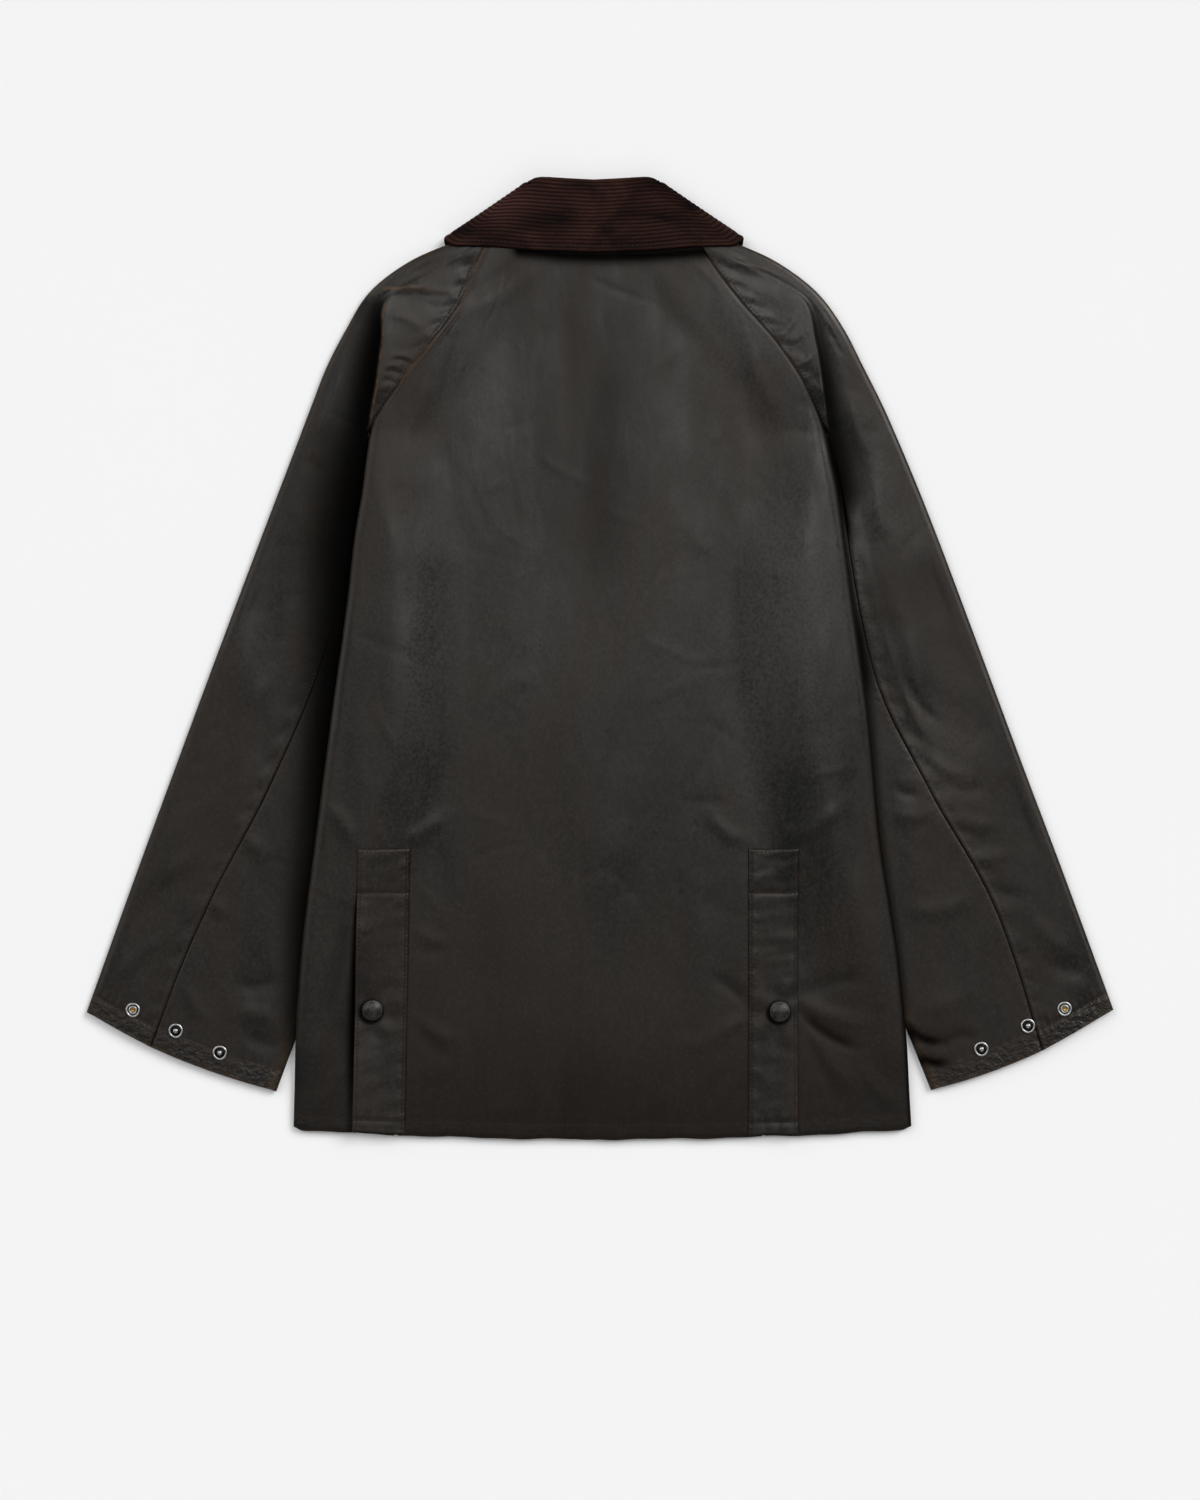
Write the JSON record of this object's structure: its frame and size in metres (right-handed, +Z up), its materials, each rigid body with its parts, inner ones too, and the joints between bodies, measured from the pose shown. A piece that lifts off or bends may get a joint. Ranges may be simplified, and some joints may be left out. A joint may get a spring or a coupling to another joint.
{
  "type": "waxed cotton jacket",
  "caption": "Waxed cotton jacket laid face down, with raglan two-piece sleeves, a turned-down corduroy collar, studded back vents and snap parts on the cuffs",
  "frame": {"origin": "centre of the footprint, on the surface that the jacket lies on", "axes": "X across the jacket from sleeve to sleeve, Y from hem to collar, Z up from the surface through front and back"},
  "size_m": [0.841, 0.788, 0.016],
  "materials": {
    "waxed_cotton": "waxed, low sheen",
    "corduroy": "corded pile, matte",
    "antiqued_cap": "dark antiqued metal",
    "nickel_snap": "bright nickel plate"
  },
  "bodies": {
    "root": {"back_panel": "waxed_cotton", "front_fly": "waxed_cotton", "front_left": "waxed_cotton", "front_right": "waxed_cotton", "sleeve_left": "waxed_cotton", "sleeve_right": "waxed_cotton", "undersleeve_left": "waxed_cotton", "undersleeve_right": "waxed_cotton", "collar_stand": "waxed_cotton", "collar_fall": "corduroy", "vent_flap_left": "waxed_cotton", "vent_flap_right": "waxed_cotton", "vent_stud_left": "antiqued_cap", "vent_stud_right": "antiqued_cap", "cuff_snap_left_1": "nickel_snap", "cuff_snap_left_2": "nickel_snap", "cuff_snap_left_3": "nickel_snap", "cuff_snap_right_1": "nickel_snap", "cuff_snap_right_2": "nickel_snap", "cuff_snap_right_3": "nickel_snap"}
  },
  "joints": []
}
